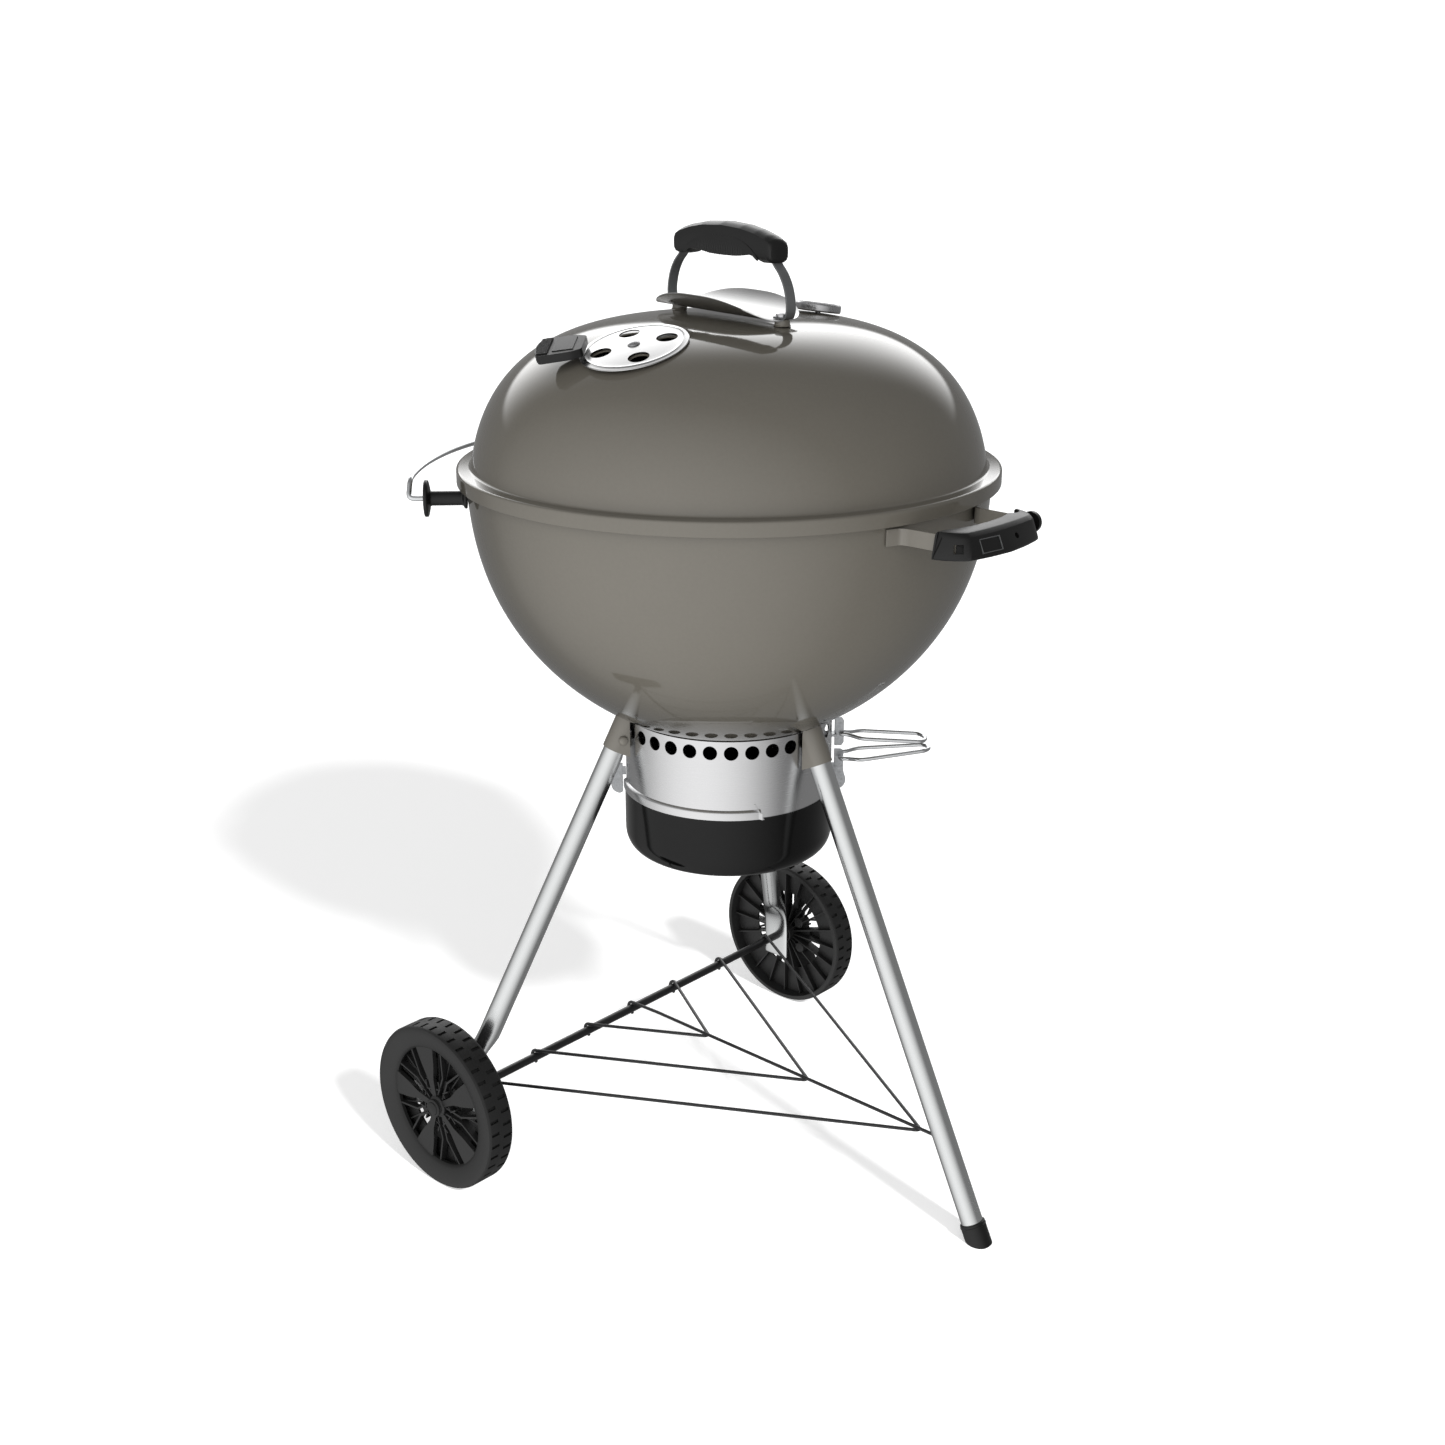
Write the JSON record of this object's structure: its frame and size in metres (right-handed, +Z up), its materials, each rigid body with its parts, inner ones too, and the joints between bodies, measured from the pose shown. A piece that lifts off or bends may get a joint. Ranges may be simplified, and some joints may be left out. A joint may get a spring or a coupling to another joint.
{
  "type": "kettle charcoal grill",
  "caption": "Kettle charcoal grill with domed lid, enamelled bowl, ash pan, tube legs, two wheels, wire rack, lid holder, vents and grates.",
  "frame": {"origin": "on the floor, under the centre of the grill's bounding box; the bowl's axis is 19.5 mm towards +Y from it", "axes": "+Z up, front leg and front handle towards -Y, wheel axle along X at the back"},
  "size_m": [0.66, 0.7392, 1.0785],
  "materials": {
    "taupe_enamel": "gloss",
    "taupe_paint": "semi-gloss",
    "leg_aluminium": "satin",
    "ring_aluminium": "satin",
    "zinc_plate": "mottled zinc",
    "plated_wire": "plated",
    "bezel_chrome": "polished",
    "black_enamel": "gloss",
    "black_wire": "semi-gloss",
    "black_plastic": "fine matt",
    "grey_strap": "satin",
    "steel": "bright wire and plate",
    "polished_aluminium": "polished",
    "dial_face": "matt white",
    "needle_red": "matt",
    "lens_glass": "clear"
  },
  "bodies": {
    "base": {"bowl": "taupe_enamel", "leg_socket_front": "taupe_paint", "leg_socket_right": "taupe_paint", "leg_socket_left": "taupe_paint", "leg_bolt_front": "steel", "leg_bolt_right": "steel", "leg_bolt_left": "steel", "leg_front": "leg_aluminium", "leg_right": "leg_aluminium", "leg_left": "leg_aluminium", "foot_cap": "black_plastic", "axle": "black_wire", "axle_cap_right": "black_plastic", "axle_cap_left": "black_plastic", "wire_rack": "black_wire", "ash_ring": "ring_aluminium", "ear_right": "zinc_plate", "ear_left": "zinc_plate", "cooking_bracket_1": "zinc_plate", "cooking_bracket_2": "zinc_plate", "cooking_bracket_3": "zinc_plate", "cooking_bracket_4": "zinc_plate", "charcoal_bracket_1": "zinc_plate", "charcoal_bracket_2": "zinc_plate", "charcoal_bracket_3": "zinc_plate", "handle_arm_right": "taupe_paint", "handle_arm_left": "taupe_paint", "front_grip": "black_plastic", "spool_right": "black_plastic", "spool_left": "black_plastic", "lid_holder_wire": "plated_wire"},
    "lid": {"lid": "taupe_enamel", "vent_rivet": "steel", "thermometer_bezel": "bezel_chrome", "thermometer_dial": "dial_face", "thermometer_lens": "lens_glass", "handle_boss_front": "taupe_paint", "handle_boss_rear": "taupe_paint", "handle_strap_front": "grey_strap", "handle_strap_rear": "grey_strap", "heat_shield": "polished_aluminium", "lid_grip": "black_plastic"},
    "vent": {"vent_disc": "polished_aluminium", "vent_tab": "black_plastic"},
    "needle": {"thermometer_needle": "needle_red"},
    "pan": {"ash_pan": "black_enamel"},
    "catch": {"pan_catch": "steel"},
    "damper": {"damper_blades": "steel", "damper_shaft": "zinc_plate", "lever_arm": "zinc_plate", "damper_lever": "steel"},
    "wheel_r": {"wheel_right": "black_plastic"},
    "wheel_l": {"wheel_left": "black_plastic"},
    "cooking": {"cooking_grate": "plated_wire"},
    "charcoal": {"charcoal_grate": "steel"}
  },
  "joints": [
    {"name": "lid_lift", "type": "slide", "parent": "base", "child": "lid", "axis": [0, 0, 1], "range_m": [0, 0.3]},
    {"name": "vent_turn", "type": "hinge", "parent": "lid", "child": "vent", "pos_m": [-0.16111, 0.00257, 0.96625], "axis": [-0.2968, -0.0312, 0.9544], "range_deg": [0, 45]},
    {"name": "needle_turn", "type": "hinge", "parent": "lid", "child": "needle", "pos_m": [0.11595, -0.00727, 0.97578], "axis": [0.1404, -0.0324, 0.9896], "range_deg": [-250, 0], "stiffness_Nm_per_rad": 0.0002},
    {"name": "pan_drop", "type": "slide", "parent": "base", "child": "pan", "axis": [0, 0, -1], "range_m": [0, 0.12]},
    {"name": "catch_lift", "type": "hinge", "parent": "base", "child": "catch", "pos_m": [0.09051, -0.07101, 0.4804], "axis": [-0.7071, -0.7071, 0], "range_deg": [0, 3], "stiffness_Nm_per_rad": 1.5},
    {"name": "damper_sweep", "type": "hinge", "parent": "base", "child": "damper", "pos_m": [0, 0.0195, 0.507], "axis": [0, 0, 1], "range_deg": [-4, 50]},
    {"name": "wheel_right_spin", "type": "hinge", "parent": "base", "child": "wheel_r", "pos_m": [0.3104, 0.1827, 0.0993], "axis": [1, 0, 0], "continuous": true},
    {"name": "wheel_left_spin", "type": "hinge", "parent": "base", "child": "wheel_l", "pos_m": [-0.3104, 0.1827, 0.0993], "axis": [1, 0, 0], "continuous": true},
    {"name": "cooking_grate_lift", "type": "slide", "parent": "base", "child": "cooking", "axis": [0, 0, 1], "range_m": [0, 0.018]},
    {"name": "charcoal_grate_lift", "type": "slide", "parent": "base", "child": "charcoal", "axis": [0, 0, 1], "range_m": [0, 0.12]}
  ]
}
